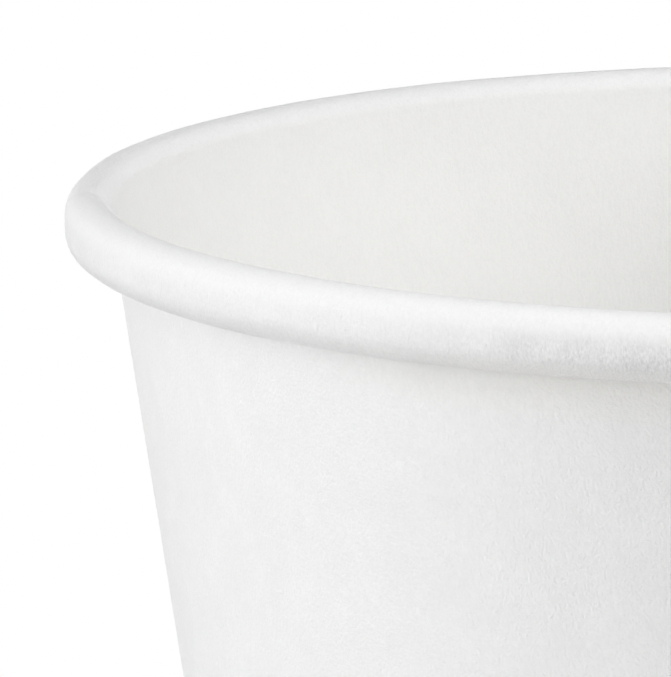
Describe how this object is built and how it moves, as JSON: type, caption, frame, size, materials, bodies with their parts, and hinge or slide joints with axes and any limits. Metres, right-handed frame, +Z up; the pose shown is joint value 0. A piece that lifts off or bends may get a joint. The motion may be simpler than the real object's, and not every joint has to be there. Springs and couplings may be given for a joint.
{
  "type": "paper soup bowl",
  "caption": "Plain white paper food bowl with an outward rolled rim, a tapering lapped side wall and a flat recessed base clamped in a folded hem.",
  "frame": {"origin": "on the bowl's axis, in the plane that the foot stands on", "axes": "+Z up along the axis, out of the mouth; the side seam runs up the wall about 25 to 33 degrees from +X towards +Y"},
  "size_m": [0.115, 0.115, 0.062],
  "materials": {
    "wall_board": "matt uncoated outside, satin coated inside",
    "base_board": "satin coated on top, matt underneath"
  },
  "bodies": {
    "root": {"side_wall": "wall_board", "base_disc": "base_board"}
  },
  "joints": []
}
